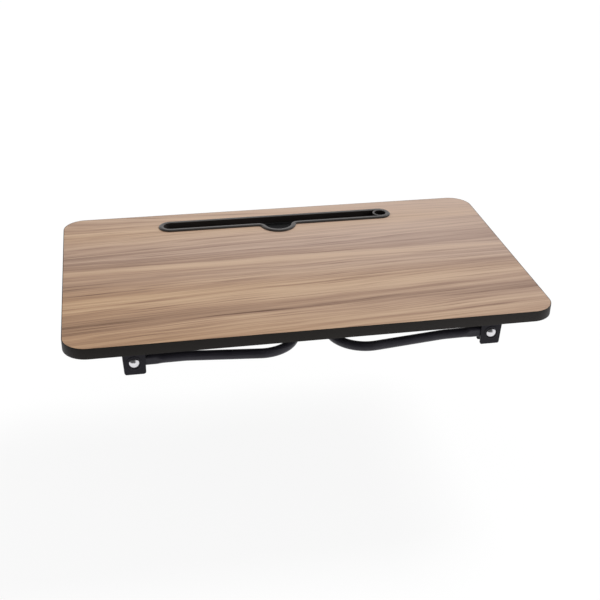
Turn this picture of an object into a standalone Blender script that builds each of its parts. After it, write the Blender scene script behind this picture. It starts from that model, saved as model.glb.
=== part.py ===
"""Folding bed tray: a laminated board with a moulded device slot, on two bent-tube legs that fold flat."""

import math

import bmesh
import bpy
from mathutils import Matrix

# Board
BOARD_WIDTH = 0.600
BOARD_DEPTH = 0.360
BOARD_THICKNESS = 0.014
BOARD_CORNER_RADIUS = 0.030
LAMINATE_THICKNESS = 0.0008
EDGE_BAND_THICKNESS = 0.0015
EDGE_BAND_ROUNDING = 0.0005

# Clearance between pieces that touch, and between those that turn on each other
GAP = 0.0003

# Slot insert: one outline of a long slot with a round bulge, offset inwards for each level
SLOT_LENGTH = 0.338
SLOT_WIDTH = 0.0327
SLOT_FROM_BACK_EDGE = 0.0429
SLOT_OFFSET_X = 0.0015
BULGE_RADIUS = 0.0255
BULGE_OFFSET = 0.0138
BULGE_FILLET = 0.005
FLANGE_HEIGHT = 0.0022
FLANGE_LIP = 0.0008
FLANGE_SLOPE = 0.0020
FLANGE_OVERHANG = 0.0024
RIM_WIDTH = 0.0066
RIM_DISH = 0.0003
RIM_ROUNDING = 0.0004
POCKET_DEPTH = 0.0105
INSERT_FLOOR = 0.0015
INSERT_DRAFT = 0.0003
PEN_HOLE_RADIUS = 0.0082
PEN_RING_WALL = 0.0028
PEN_RING_DROP = 0.0002
PEN_HOLE_FROM_END = 0.0148

# Leg: a steel tube bent to a U whose arms splay, with an arched foot bar and its ends pressed flat
TUBE_RADIUS = 0.0060
TUBE_WALL = 0.0012
PRESSED_THICKNESS = 0.0095
PRESSED_WIDENING = 0.13
PRESSED_LENGTH = 0.0245
PRESSED_TAPER = 0.010
LEG_HEEL = 0.0070
FOLDED_LEGS_GAP = 0.028
LEG_CORNER_RADIUS = 0.044
SPLAY_START = 0.057
SPLAY_BEND_RADIUS = 0.060
SPLAY_OUT = 0.0111
FOOT_ARCH = 0.022
FOOT_ARCH_HALF_FLAT = 0.030
FOOT_ARCH_RUN = 0.045
HANG_LEFT = math.radians(-0.4)
HANG_RIGHT = math.radians(0.7)

# Foot sleeve: a ribbed rubber tube on each straight stretch of the foot bar
SLEEVE_WALL = 0.0017
SLEEVE_LENGTH = 0.034
SLEEVE_RIBS = 3
SLEEVE_RIB_HEIGHT = 0.0005

# Bracket: a pressed steel cup, open inwards and downwards, with a screw plate
PIVOT_FROM_BOARD_END = 0.081
PIVOT_DROP = 0.0165
BRACKET_HEIGHT = 0.032
BRACKET_INSET = 0.010
SHEET = 0.0015
BEND_RADIUS = 0.0020
CHEEK_INNER_REACH = 0.0134
CHEEK_OUTER_TOP = 0.0139
CHEEK_OUTER_BOTTOM = 0.0120
CHEEK_CORNER_RADIUS = 0.0030
RIB_INNER_RADIUS = 0.0072
RIB_OUTER_RADIUS = 0.0094
RIB_HEIGHT = 0.0006
PLATE_LENGTH = 0.022
PLATE_WIDTH = 0.025
PLATE_CORNER_RADIUS = 0.0040
PLATE_OVERLAP = 0.004

# Rivet
RIVET_SHANK_RADIUS = 0.0030
RIVET_HEAD_RADIUS = 0.0060
RIVET_HEAD_HEIGHT = 0.0026
RIVET_TAIL_RADIUS = 0.0046
RIVET_TAIL_HEIGHT = 0.0016

# Screw
SCREW_SHANK_RADIUS = 0.0018
SCREW_HEAD_RADIUS = 0.0038
SCREW_HEAD_HEIGHT = 0.0022
SCREW_LENGTH = 0.0100
SCREW_TIP = 0.0030
SCREW_SPREAD = 0.0145
SCREW_FROM_END = 0.0085
RECESS_LENGTH = 0.0040
RECESS_WIDTH = 0.0010
RECESS_DEPTH = 0.0011

# Fineness of round shapes
CORNER_STEPS = 8
TURN_STEPS = 16
SLEEVE_TURN_STEPS = 12
SMALL_TURN_STEPS = 8
TUBE_SIDES_RESOLUTION = 4
CUT_MARGIN = 0.002

# Heights above the floor that the folded tray lies on
UNDERSIDE_Z = BRACKET_HEIGHT
TOP_Z = UNDERSIDE_Z + BOARD_THICKNESS
PIVOT_Z = UNDERSIDE_Z - PIVOT_DROP
CORE_BOTTOM_Z = UNDERSIDE_Z + LAMINATE_THICKNESS + GAP
CORE_TOP_Z = TOP_Z - LAMINATE_THICKNESS - GAP
POCKET_FLOOR_Z = TOP_Z - POCKET_DEPTH

# Widths and places that follow from the driving sizes
CHANNEL_WIDTH = PRESSED_THICKNESS + 2 * GAP
BRACKET_DEPTH = CHANNEL_WIDTH + 2 * SHEET
ARM_Y = BOARD_DEPTH / 2 - BRACKET_INSET - BRACKET_DEPTH / 2
PIVOT_X = BOARD_WIDTH / 2 - PIVOT_FROM_BOARD_END
SLOT_Y = BOARD_DEPTH / 2 - SLOT_FROM_BACK_EDGE
PEN_HOLE_X = SLOT_OFFSET_X + SLOT_LENGTH / 2 - PEN_HOLE_FROM_END
SLEEVE_RADIUS = TUBE_RADIUS + GAP + SLEEVE_WALL
LEG_REACH = PIVOT_X - FOLDED_LEGS_GAP / 2 - SLEEVE_RADIUS
CORNER_X = LEG_REACH - LEG_CORNER_RADIUS
SPLAY = math.atan(SPLAY_OUT / (CORNER_X - SPLAY_START))
SPLAY_BEND_X = SPLAY_START + SPLAY_BEND_RADIUS * math.sin(SPLAY)
SPLAY_BEND_OUT = SPLAY_BEND_RADIUS * (1 - math.cos(SPLAY))
CORNER_START_X = CORNER_X - LEG_CORNER_RADIUS * math.sin(SPLAY)
CORNER_START_OUT = SPLAY_BEND_OUT + (CORNER_START_X - SPLAY_BEND_X) * math.tan(SPLAY)
CORNER_Y = ARM_Y + CORNER_START_OUT - LEG_CORNER_RADIUS * math.cos(SPLAY)
ARCH_START_Y = FOOT_ARCH_HALF_FLAT + FOOT_ARCH_RUN
PLATE_END_X = -CHEEK_INNER_REACH - PLATE_LENGTH
SCREW_X = PLATE_END_X + SCREW_FROM_END


def clear_scene():
    """Remove whatever the open scene holds."""
    for obj in list(bpy.data.objects):
        bpy.data.objects.remove(obj, do_unlink=True)


def new_collection(name):
    """A collection linked to the scene."""
    collection = bpy.data.collections.new(name)
    bpy.context.scene.collection.children.link(collection)
    return collection


def new_material(name, colour, roughness, metallic):
    """A plain finish."""
    material = bpy.data.materials.new(name)
    material.use_nodes = True
    shader = material.node_tree.nodes["Principled BSDF"]
    shader.inputs["Base Color"].default_value = (*colour, 1.0)
    shader.inputs["Roughness"].default_value = roughness
    shader.inputs["Metallic"].default_value = metallic
    return material


def add_object(name, data, collection, material=None):
    """An object for a mesh or curve, in a collection, with its finish."""
    obj = bpy.data.objects.new(name, data)
    collection.objects.link(obj)
    if material is not None and not data.materials:
        data.materials.append(material)
    return obj


def evaluated_mesh(obj):
    """The mesh that an object's curve or modifiers give, with loose caps welded."""
    bpy.context.view_layer.update()
    depsgraph = bpy.context.evaluated_depsgraph_get()
    mesh = bpy.data.meshes.new_from_object(obj.evaluated_get(depsgraph))
    shape = bmesh.new()
    shape.from_mesh(mesh)
    bmesh.ops.remove_doubles(shape, verts=shape.verts, dist=0.000001)
    shape.to_mesh(mesh)
    shape.free()
    return mesh


def baked(obj, collection, material=None):
    """Replace an object by the plain mesh that it evaluates to, at the same place."""
    mesh = evaluated_mesh(obj)
    place = obj.matrix_world.copy()
    name = obj.name
    bpy.data.objects.remove(obj, do_unlink=True)
    mesh.name = name
    solid = add_object(name, mesh, collection, material)
    solid.matrix_world = place
    return solid


def shade_round(mesh, angle=35):
    """Shade a mesh smooth, with its real corners sharp."""
    mesh.shade_smooth()
    mesh.set_sharp_from_angle(angle=math.radians(angle))


def arc(centre_x, centre_y, radius, start, end, steps):
    """Points along an arc, angles in degrees, both ends included."""
    points = []
    for step in range(steps + 1):
        angle = math.radians(start + (end - start) * step / steps)
        points.append((centre_x + radius * math.cos(angle), centre_y + radius * math.sin(angle)))
    return points


def rounded_rectangle(width, depth, radius, centre_x=0.0, centre_y=0.0, steps=CORNER_STEPS):
    """Counter-clockwise outline of a rectangle with round corners."""
    dx = width / 2 - radius
    dy = depth / 2 - radius
    outline = arc(centre_x + dx, centre_y + dy, radius, 0, 90, steps)
    outline += arc(centre_x - dx, centre_y + dy, radius, 90, 180, steps)
    outline += arc(centre_x - dx, centre_y - dy, radius, 180, 270, steps)
    outline += arc(centre_x + dx, centre_y - dy, radius, 270, 360, steps)
    return outline


def plate(name, outlines, thickness, middle_z, collection):
    """A flat plate between closed outlines; every outline after the first is a window."""
    curve = bpy.data.curves.new(name, "CURVE")
    curve.dimensions = "2D"
    curve.fill_mode = "BOTH"
    curve.extrude = thickness / 2
    for outline in outlines:
        spline = curve.splines.new("POLY")
        spline.points.add(len(outline) - 1)
        for point, (x, y) in zip(spline.points, outline):
            point.co = (x, y, 0, 1)
        spline.use_cyclic_u = True
    obj = add_object(name, curve, collection)
    obj.location.z = middle_z
    return obj


def turned(name, profile, steps, collection, closed=False):
    """A solid of revolution about Z from (radius, height) points that run down its outer side."""
    count = len(profile)
    edges = [(i, i + 1) for i in range(count - 1)]
    if closed:
        edges.append((count - 1, 0))
    mesh = bpy.data.meshes.new(name)
    mesh.from_pydata([(radius, 0, z) for radius, z in profile], edges, [])
    obj = add_object(name, mesh, collection)
    screw = obj.modifiers.new("Turn", "SCREW")
    screw.axis = "Z"
    screw.steps = steps
    screw.render_steps = steps
    screw.use_merge_vertices = True
    screw.merge_threshold = 0.00001
    return obj


def cylinder(name, radius, depth, steps, collection):
    """A plain cylinder about Z, centred on its origin."""
    mesh = bpy.data.meshes.new(name)
    shape = bmesh.new()
    bmesh.ops.create_cone(shape, cap_ends=True, segments=steps, radius1=radius, radius2=radius, depth=depth)
    shape.to_mesh(mesh)
    shape.free()
    return add_object(name, mesh, collection)


def boolean(target, tool, operation):
    """Cut with, join or intersect another solid."""
    tool.hide_render = True
    tool.display_type = "WIRE"
    modifier = target.modifiers.new(tool.name, "BOOLEAN")
    modifier.operation = operation
    modifier.solver = "EXACT"
    modifier.object = tool


def mirrored_mesh(mesh, name, flip_x, flip_y):
    """A copy of a mesh, mirrored in x, y or both."""
    copy = mesh.copy()
    copy.name = name
    shape = bmesh.new()
    shape.from_mesh(copy)
    bmesh.ops.transform(shape, matrix=Matrix.Diagonal((flip_x, flip_y, 1, 1)), verts=shape.verts)
    if flip_x * flip_y < 0:
        bmesh.ops.reverse_faces(shape, faces=shape.faces)
    shape.to_mesh(copy)
    shape.free()
    return copy


# Board and edge band

def board_outline(inset):
    """The board's outline, drawn in by an inset."""
    return rounded_rectangle(BOARD_WIDTH - 2 * inset, BOARD_DEPTH - 2 * inset, BOARD_CORNER_RADIUS - inset)


def slot_outline(inset):
    """The slot insert's outline, drawn in by an inset: round ends, and a filleted bulge to the front."""
    half_width = SLOT_WIDTH / 2 - inset
    end_x = SLOT_LENGTH / 2 - SLOT_WIDTH / 2
    radius = BULGE_RADIUS - inset
    fillet = BULGE_FILLET + inset
    fillet_y = -half_width - fillet
    lift = fillet_y + BULGE_OFFSET
    fillet_x = math.sqrt((radius + fillet) ** 2 - lift ** 2)
    meet = math.degrees(math.atan2(-lift, fillet_x))
    points = arc(end_x, 0, half_width, -90, 90, 12)
    points += arc(-end_x, 0, half_width, 90, 270, 12)
    points += arc(-fillet_x, fillet_y, fillet, 90, meet, 4)
    points += arc(0, -BULGE_OFFSET, radius, 180 + meet, 360 - meet, 16)[1:-1]
    points += arc(fillet_x, fillet_y, fillet, 180 - meet, 90, 4)
    return [(x + SLOT_OFFSET_X, y + SLOT_Y) for x, y in points]


def lofted_mesh(name, levels):
    """A closed skin through offset copies of the slot outline, listed as (inset, height) levels."""
    shape = bmesh.new()
    rings = []
    for inset, z in levels:
        rings.append([shape.verts.new((x, y, z)) for x, y in slot_outline(inset)])
    for lower, upper in zip(rings, rings[1:]):
        for i in range(len(lower)):
            j = (i + 1) % len(lower)
            shape.faces.new((lower[i], lower[j], upper[j], upper[i]))
    shape.faces.new(list(reversed(rings[0])))
    shape.faces.new(rings[-1])
    bmesh.ops.recalc_face_normals(shape, faces=shape.faces)
    mesh = bpy.data.meshes.new(name)
    shape.to_mesh(mesh)
    shape.free()
    return mesh


def make_pocket_cutter(cutters):
    """The pocket for the slot insert, through the top laminate and down into the core."""
    inset = FLANGE_OVERHANG - GAP
    mesh = lofted_mesh("pocket_cutter", [(inset, POCKET_FLOOR_Z), (inset, TOP_Z + CUT_MARGIN)])
    return add_object("pocket_cutter", mesh, cutters)


def make_pilot_cutter(cutters):
    """One cutter that holds the pilot hole of every bracket screw."""
    top = UNDERSIDE_Z - SHEET - 2 * GAP + SCREW_LENGTH + GAP
    bottom = UNDERSIDE_Z - CUT_MARGIN
    shape = bmesh.new()
    radius = SCREW_SHANK_RADIUS + GAP
    for x, y in screw_places():
        place = Matrix.Translation((x, y, (top + bottom) / 2))
        bmesh.ops.create_cone(shape, cap_ends=True, segments=SMALL_TURN_STEPS, radius1=radius, radius2=radius,
                              depth=top - bottom, matrix=place)
    mesh = bpy.data.meshes.new("pilot_cutter")
    shape.to_mesh(mesh)
    shape.free()
    return add_object("pilot_cutter", mesh, cutters)


def make_board(collection, cutters):
    """Core, the two laminates and the edge band."""
    core_finish = new_material("fibreboard", (0.42, 0.30, 0.20), 0.85, 0.0)
    wood_finish = new_material("wood_laminate", (0.50, 0.35, 0.26), 0.45, 0.0)
    backing_finish = new_material("dark_backing", (0.03, 0.03, 0.03), 0.6, 0.0)
    band_finish = new_material("black_edge_band", (0.018, 0.017, 0.015), 0.5, 0.0)
    inner = board_outline(EDGE_BAND_THICKNESS + GAP)
    pocket = make_pocket_cutter(cutters)
    pilots = make_pilot_cutter(cutters)

    core = plate("board_core", [inner], CORE_TOP_Z - CORE_BOTTOM_Z, (CORE_TOP_Z + CORE_BOTTOM_Z) / 2, collection)
    core = baked(core, collection, core_finish)
    boolean(core, pocket, "DIFFERENCE")
    boolean(core, pilots, "DIFFERENCE")

    window = slot_outline(FLANGE_OVERHANG - GAP)
    top = plate("top_laminate", [inner, window], LAMINATE_THICKNESS, TOP_Z - LAMINATE_THICKNESS / 2, collection)
    baked(top, collection, wood_finish)

    bottom_z = UNDERSIDE_Z + LAMINATE_THICKNESS / 2
    bottom = plate("bottom_laminate", [inner], LAMINATE_THICKNESS, bottom_z, collection)
    bottom = baked(bottom, collection, backing_finish)
    boolean(bottom, pilots, "DIFFERENCE")

    outlines = [board_outline(0), board_outline(EDGE_BAND_THICKNESS)]
    band = plate("edge_band", outlines, BOARD_THICKNESS, (TOP_Z + UNDERSIDE_Z) / 2, collection)
    band = baked(band, collection, band_finish)
    bevel = band.modifiers.new("Rounded edges", "BEVEL")
    bevel.width = EDGE_BAND_ROUNDING
    bevel.segments = 1
    bevel.limit_method = "ANGLE"
    bevel.angle_limit = math.radians(40)


# Slot insert

def make_slot_insert(collection, cutters):
    """The moulded insert: sloped flange, dished rim, deep groove with a bulge, and a ringed pen hole."""
    finish = new_material("black_moulding", (0.020, 0.018, 0.018), 0.4, 0.0)
    bottom_z = POCKET_FLOOR_Z + GAP
    seat_z = TOP_Z + GAP
    top_z = TOP_Z + FLANGE_HEIGHT
    inner_z = top_z - RIM_DISH
    floor_z = bottom_z + INSERT_FLOOR
    levels = [
        (FLANGE_OVERHANG + INSERT_DRAFT, bottom_z),
        (FLANGE_OVERHANG, seat_z),
        (0, seat_z),
        (0, seat_z + FLANGE_LIP),
        (FLANGE_SLOPE, top_z),
        (RIM_WIDTH - RIM_ROUNDING, inner_z),
        (RIM_WIDTH, inner_z - RIM_ROUNDING),
        (RIM_WIDTH + INSERT_DRAFT, floor_z),
    ]
    insert = add_object("slot_insert", lofted_mesh("slot_insert", levels), collection, finish)

    ring_bottom = bottom_z + INSERT_FLOOR / 2
    ring_top = top_z - PEN_RING_DROP
    ring = cylinder("pen_ring", PEN_HOLE_RADIUS + PEN_RING_WALL, ring_top - ring_bottom, 32, cutters)
    ring.location = (PEN_HOLE_X, SLOT_Y, (ring_top + ring_bottom) / 2)
    boolean(insert, ring, "UNION")

    hole_top = top_z + CUT_MARGIN
    hole = cylinder("pen_hole_cutter", PEN_HOLE_RADIUS, hole_top - floor_z, 32, cutters)
    hole.location = (PEN_HOLE_X, SLOT_Y, (hole_top + floor_z) / 2)
    boolean(insert, hole, "DIFFERENCE")


# Brackets, rivets and screws; x runs outwards from the pivot and y towards the nearer long edge

def corners():
    """The four bracket places: name, x side, y side."""
    return [("front_left", -1, -1), ("front_right", 1, -1), ("rear_left", -1, 1), ("rear_right", 1, 1)]


def screw_places():
    """Board positions of every bracket screw."""
    places = []
    for _, side_x, side_y in corners():
        for spread in (-SCREW_SPREAD / 2, SCREW_SPREAD / 2):
            places.append((side_x * (PIVOT_X + SCREW_X), side_y * (ARM_Y + spread)))
    return places


def bracket_cup(cutters):
    """The bent sheet: web, two cheeks and the slanted end wall that stops the open leg."""
    web_z = PIVOT_DROP - GAP
    bottom_z = -PIVOT_Z - CUT_MARGIN
    slope = (CHEEK_OUTER_TOP - CHEEK_OUTER_BOTTOM) / BRACKET_HEIGHT
    shape = bmesh.new()
    bmesh.ops.create_cube(shape, size=1.0)
    for vertex in shape.verts:
        z = web_z if vertex.co.z > 0 else bottom_z
        outer_x = CHEEK_OUTER_BOTTOM + slope * (z + PIVOT_Z)
        vertex.co.x = outer_x if vertex.co.x > 0 else -CHEEK_INNER_REACH
        vertex.co.y = math.copysign(BRACKET_DEPTH / 2, vertex.co.y)
        vertex.co.z = z
    open_faces = [face for face in shape.faces if face.normal.z < -0.5 or face.normal.x < -0.5]
    bmesh.ops.delete(shape, geom=open_faces, context="FACES_ONLY")
    mesh = bpy.data.meshes.new("bracket")
    shape.to_mesh(mesh)
    shape.free()
    cup = add_object("bracket_cup", mesh, cutters)
    bend = cup.modifiers.new("Bends", "BEVEL")
    bend.width = BEND_RADIUS
    bend.segments = 2
    bend.limit_method = "ANGLE"
    bend.angle_limit = math.radians(40)
    sheet = cup.modifiers.new("Sheet", "SOLIDIFY")
    sheet.thickness = SHEET
    sheet.offset = -1
    sheet.use_even_offset = True
    return cup


def cheek_outline():
    """Side view of the cup with its round lower corners, wide and tall enough to keep all else."""
    bottom = -PIVOT_Z
    top = PIVOT_DROP + CUT_MARGIN
    radius = CHEEK_CORNER_RADIUS
    inner_x = -CHEEK_INNER_REACH
    slope = (CHEEK_OUTER_TOP - CHEEK_OUTER_BOTTOM) / BRACKET_HEIGHT
    lean = math.degrees(math.atan(slope))
    reach = radius * (1 - math.sin(math.radians(lean))) / math.cos(math.radians(lean))
    centre_x = CHEEK_OUTER_BOTTOM - reach
    outline = arc(inner_x + radius, bottom + radius, radius, 180, 270, 4)
    outline += arc(centre_x, bottom + radius, radius, 270, 360 - lean, 4)
    outline += [(CHEEK_OUTER_TOP + CUT_MARGIN, top), (inner_x - CUT_MARGIN, top)]
    outline += [(inner_x - CUT_MARGIN, PIVOT_DROP / 2), (inner_x, PIVOT_DROP / 2)]
    return outline


def bracket_mesh(cutters):
    """One whole bracket, with its pivot at the origin."""
    cup = bracket_cup(cutters)

    trim = plate("cheek_trim", [cheek_outline()], BRACKET_DEPTH + 2 * CUT_MARGIN, 0, cutters)
    trim.rotation_euler.x = math.radians(90)
    trim = baked(trim, cutters)
    boolean(cup, trim, "INTERSECT")

    plate_start = -CHEEK_INNER_REACH + PLATE_OVERLAP
    middle_x = (PLATE_END_X + plate_start) / 2
    outline = rounded_rectangle(plate_start - PLATE_END_X, PLATE_WIDTH, PLATE_CORNER_RADIUS, middle_x, 0, 5)
    screw_plate = plate("screw_plate", [outline], SHEET, PIVOT_DROP - GAP - SHEET / 2, cutters)
    screw_plate = baked(screw_plate, cutters)
    boolean(cup, screw_plate, "UNION")

    face_y = BRACKET_DEPTH / 2
    profile = [
        (RIB_INNER_RADIUS + RIB_HEIGHT, face_y + RIB_HEIGHT),
        (RIB_OUTER_RADIUS - RIB_HEIGHT, face_y + RIB_HEIGHT),
        (RIB_OUTER_RADIUS, face_y),
        (RIB_OUTER_RADIUS, face_y - SHEET / 2),
        (RIB_INNER_RADIUS, face_y - SHEET / 2),
        (RIB_INNER_RADIUS, face_y),
    ]
    rib = turned("rivet_rib", profile, TURN_STEPS, cutters, closed=True)
    rib.rotation_euler.x = math.radians(-90)
    boolean(cup, rib, "UNION")

    hole = cylinder("rivet_hole_cutter", RIVET_SHANK_RADIUS + GAP, BRACKET_DEPTH + 2 * CUT_MARGIN, TURN_STEPS, cutters)
    hole.rotation_euler.x = math.radians(90)
    boolean(cup, hole, "DIFFERENCE")

    for side in (-1, 1):
        hole = cylinder(f"screw_hole_cutter_{side}", SCREW_SHANK_RADIUS + GAP, SHEET + 2 * CUT_MARGIN,
                        SMALL_TURN_STEPS, cutters)
        hole.location = (SCREW_X, side * SCREW_SPREAD / 2, PIVOT_DROP - SHEET / 2)
        boolean(cup, hole, "DIFFERENCE")

    mesh = evaluated_mesh(cup)
    bpy.data.objects.remove(cup, do_unlink=True)
    return mesh


def make_brackets(collection, cutters):
    """Four handed brackets under the board."""
    finish = new_material("black_painted_steel", (0.016, 0.015, 0.020), 0.3, 0.0)
    pattern = bracket_mesh(cutters)
    for name, side_x, side_y in corners():
        mesh = mirrored_mesh(pattern, f"{name}_bracket", side_x, side_y)
        shade_round(mesh)
        bracket = add_object(f"{name}_bracket", mesh, collection, finish)
        bracket.location = (side_x * PIVOT_X, side_y * ARM_Y, PIVOT_Z)


def make_rivets(collection):
    """A domed rivet through each bracket and tube end, head outwards."""
    finish = new_material("bright_nickel", (0.75, 0.74, 0.72), 0.2, 1.0)
    seat = BRACKET_DEPTH / 2 + GAP
    profile = []
    for radial, rise in arc(0, 0, 1, 90, 0, 4):
        profile.append((RIVET_HEAD_RADIUS * radial, seat + RIVET_HEAD_HEIGHT * rise))
    profile += [
        (RIVET_SHANK_RADIUS, seat),
        (RIVET_SHANK_RADIUS, -seat),
        (RIVET_TAIL_RADIUS, -seat),
        (RIVET_TAIL_RADIUS, -seat - RIVET_TAIL_HEIGHT / 2),
        (RIVET_SHANK_RADIUS, -seat - RIVET_TAIL_HEIGHT),
        (0, -seat - RIVET_TAIL_HEIGHT),
    ]
    for name, side_x, side_y in corners():
        rivet = turned(f"{name}_rivet", profile, TURN_STEPS, collection)
        rivet.data.materials.append(finish)
        rivet.location = (side_x * PIVOT_X, side_y * ARM_Y, PIVOT_Z)
        rivet.rotation_euler.x = -side_y * math.radians(90)


def screw_mesh(cutters):
    """One pan-head screw, point up, its head's bearing face at the origin."""
    profile = [(0, SCREW_LENGTH)]
    profile.append((SCREW_SHANK_RADIUS, SCREW_LENGTH - SCREW_TIP))
    profile.append((SCREW_SHANK_RADIUS, 0))
    for radial, rise in arc(0, 0, 1, 0, 90, 2):
        profile.append((SCREW_HEAD_RADIUS * radial, -SCREW_HEAD_HEIGHT * rise))
    screw = turned("screw_pattern", profile, SMALL_TURN_STEPS, cutters)
    for turn in (0, 90):
        slot = plate(f"recess_cutter_{turn}", [rounded_rectangle(RECESS_LENGTH, RECESS_WIDTH, RECESS_WIDTH / 4, steps=1)],
                     2 * RECESS_DEPTH, -SCREW_HEAD_HEIGHT, cutters)
        slot.rotation_euler.z = math.radians(turn)
        slot = baked(slot, cutters)
        boolean(screw, slot, "DIFFERENCE")
    mesh = evaluated_mesh(screw)
    bpy.data.objects.remove(screw, do_unlink=True)
    shade_round(mesh)
    return mesh


def make_screws(collection, cutters):
    """Two screws up through each bracket's plate into the board."""
    finish = new_material("zinc_plated_steel", (0.55, 0.54, 0.50), 0.35, 1.0)
    mesh = screw_mesh(cutters)
    mesh.materials.append(finish)
    bearing_z = UNDERSIDE_Z - GAP - SHEET - GAP
    labels = []
    for name, _, _ in corners():
        labels += [f"{name}_screw_a", f"{name}_screw_b"]
    for label, (x, y) in zip(labels, screw_places()):
        screw = add_object(label, mesh, collection)
        screw.location = (x, y, bearing_z)


# Legs; x runs from the pivot towards the foot bar, and y along the pivot axis

def smooth(share):
    """An S-shaped rise from 0 to 1."""
    return (1 - math.cos(math.pi * share)) / 2


def leg_half_path():
    """Centre line of half a leg, from its heel to the middle of the foot bar."""
    steps = 5
    points = [(-LEG_HEEL, -ARM_Y), (PRESSED_LENGTH, -ARM_Y)]
    for step in range(1, 4):
        points.append((PRESSED_LENGTH + PRESSED_TAPER * step / 3, -ARM_Y))
    splay = math.degrees(SPLAY)
    points += arc(SPLAY_START, -ARM_Y - SPLAY_BEND_RADIUS, SPLAY_BEND_RADIUS, 90, 90 - splay, 2)
    points += arc(CORNER_X, -CORNER_Y, LEG_CORNER_RADIUS, -90 - splay, 0, 7)
    for step in range(steps + 1):
        share = step / steps
        points.append((LEG_REACH - FOOT_ARCH * smooth(share), -ARCH_START_Y + FOOT_ARCH_RUN * share))
    return points


def tube_skin_along_leg(name, collection):
    """The tube's outer skin along the whole leg's centre line, open at both ends."""
    half = leg_half_path()
    path = half + [(x, -y) for x, y in reversed(half)]
    curve = bpy.data.curves.new(name, "CURVE")
    curve.dimensions = "3D"
    curve.bevel_depth = TUBE_RADIUS
    curve.bevel_resolution = TUBE_SIDES_RESOLUTION
    spline = curve.splines.new("POLY")
    spline.points.add(len(path) - 1)
    for point, (x, y) in zip(spline.points, path):
        point.co = (x, y, 0, 1)
    return baked(add_object(name, curve, collection), collection)


def press_ends_flat(mesh):
    """Press the ends of the leg's tube between flat jaws."""
    for vertex in mesh.vertices:
        along = (vertex.co.x - PRESSED_LENGTH) / PRESSED_TAPER
        pressed = 1 - smooth(min(max(along, 0), 1))
        if pressed == 0 or abs(vertex.co.y) < CORNER_Y:
            continue
        side = math.copysign(1, vertex.co.y)
        limit = TUBE_RADIUS + pressed * (PRESSED_THICKNESS / 2 - TUBE_RADIUS)
        across = min(max(side * vertex.co.y - ARM_Y, -limit), limit)
        vertex.co.y = side * (ARM_Y + across)
        vertex.co.z *= 1 + pressed * PRESSED_WIDENING


def leg_mesh(cutters):
    """One leg: hollow tube, pressed ends, and a rivet hole through each end."""
    leg = tube_skin_along_leg("leg_tube", cutters)
    press_ends_flat(leg.data)
    wall = leg.modifiers.new("Tube wall", "SOLIDIFY")
    wall.thickness = TUBE_WALL
    wall.offset = -1
    wall.use_even_offset = True
    for side in (-1, 1):
        hole = cylinder(f"leg_hole_cutter_{side}", RIVET_SHANK_RADIUS + GAP, 2 * TUBE_RADIUS + 2 * CUT_MARGIN,
                        TURN_STEPS, cutters)
        hole.rotation_euler.x = math.radians(90)
        hole.location.y = side * ARM_Y
        boolean(leg, hole, "DIFFERENCE")
    mesh = evaluated_mesh(leg)
    bpy.data.objects.remove(leg, do_unlink=True)
    shade_round(mesh, 45)
    return mesh


def sleeve_profile():
    """Closed section of a ribbed sleeve: down the ribbed outside, then up the bore."""
    inner = TUBE_RADIUS + GAP
    crest = SLEEVE_RADIUS
    outer = crest - SLEEVE_RIB_HEIGHT
    half = SLEEVE_LENGTH / 2
    pitch = SLEEVE_LENGTH / (SLEEVE_RIBS + 1)
    profile = [(outer, half)]
    for rib in range(SLEEVE_RIBS):
        middle = half - pitch * (rib + 1)
        profile.append((outer, middle + pitch / 4))
        profile.append((crest, middle))
        profile.append((outer, middle - pitch / 4))
    profile += [(outer, -half), (inner, -half), (inner, half)]
    return profile


def make_legs(collection, cutters):
    """Both legs, each turning about an empty on its hinge axis, with two sleeves on its foot bar."""
    steel = new_material("black_gloss_steel", (0.016, 0.015, 0.022), 0.22, 0.0)
    rubber = new_material("black_rubber", (0.02, 0.02, 0.02), 0.8, 0.0)
    mesh = leg_mesh(cutters)
    mesh.materials.append(steel)
    sleeve_y = (CORNER_Y + ARCH_START_Y) / 2
    for name, side_x, hang in (("left", -1, HANG_LEFT), ("right", 1, HANG_RIGHT)):
        pivot = bpy.data.objects.new(f"{name}_leg_pivot", None)
        collection.objects.link(pivot)
        pivot.location = (side_x * PIVOT_X, 0, PIVOT_Z)
        pivot.rotation_euler = (0, hang, math.radians(0 if side_x < 0 else 180))
        leg = add_object(f"{name}_leg", mesh, collection)
        leg.parent = pivot
        facing = -side_x
        for place, side_y in (("front", -facing), ("rear", facing)):
            sleeve = turned(f"{name}_leg_{place}_sleeve", sleeve_profile(), SLEEVE_TURN_STEPS, collection,
                            closed=True)
            sleeve.data.materials.append(rubber)
            sleeve.parent = pivot
            sleeve.location = (LEG_REACH, side_y * sleeve_y, 0)
            sleeve.rotation_euler.x = math.radians(90)


def main():
    """Build the whole tray, folded, standing on its brackets with the floor at z = 0."""
    clear_scene()
    tray = new_collection("bed_tray")
    cutters = new_collection("cutters")
    make_board(tray, cutters)
    make_slot_insert(tray, cutters)
    make_brackets(tray, cutters)
    make_rivets(tray)
    make_screws(tray, cutters)
    make_legs(tray, cutters)
    for tool in cutters.objects:
        tool.hide_render = True
        tool.display_type = "WIRE"


main()
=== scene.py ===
"""Looks of the folding bed tray: finishes, smooth pieces, floor, light and camera."""

import math

import bmesh
import bpy
from mathutils import Matrix, Vector

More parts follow.
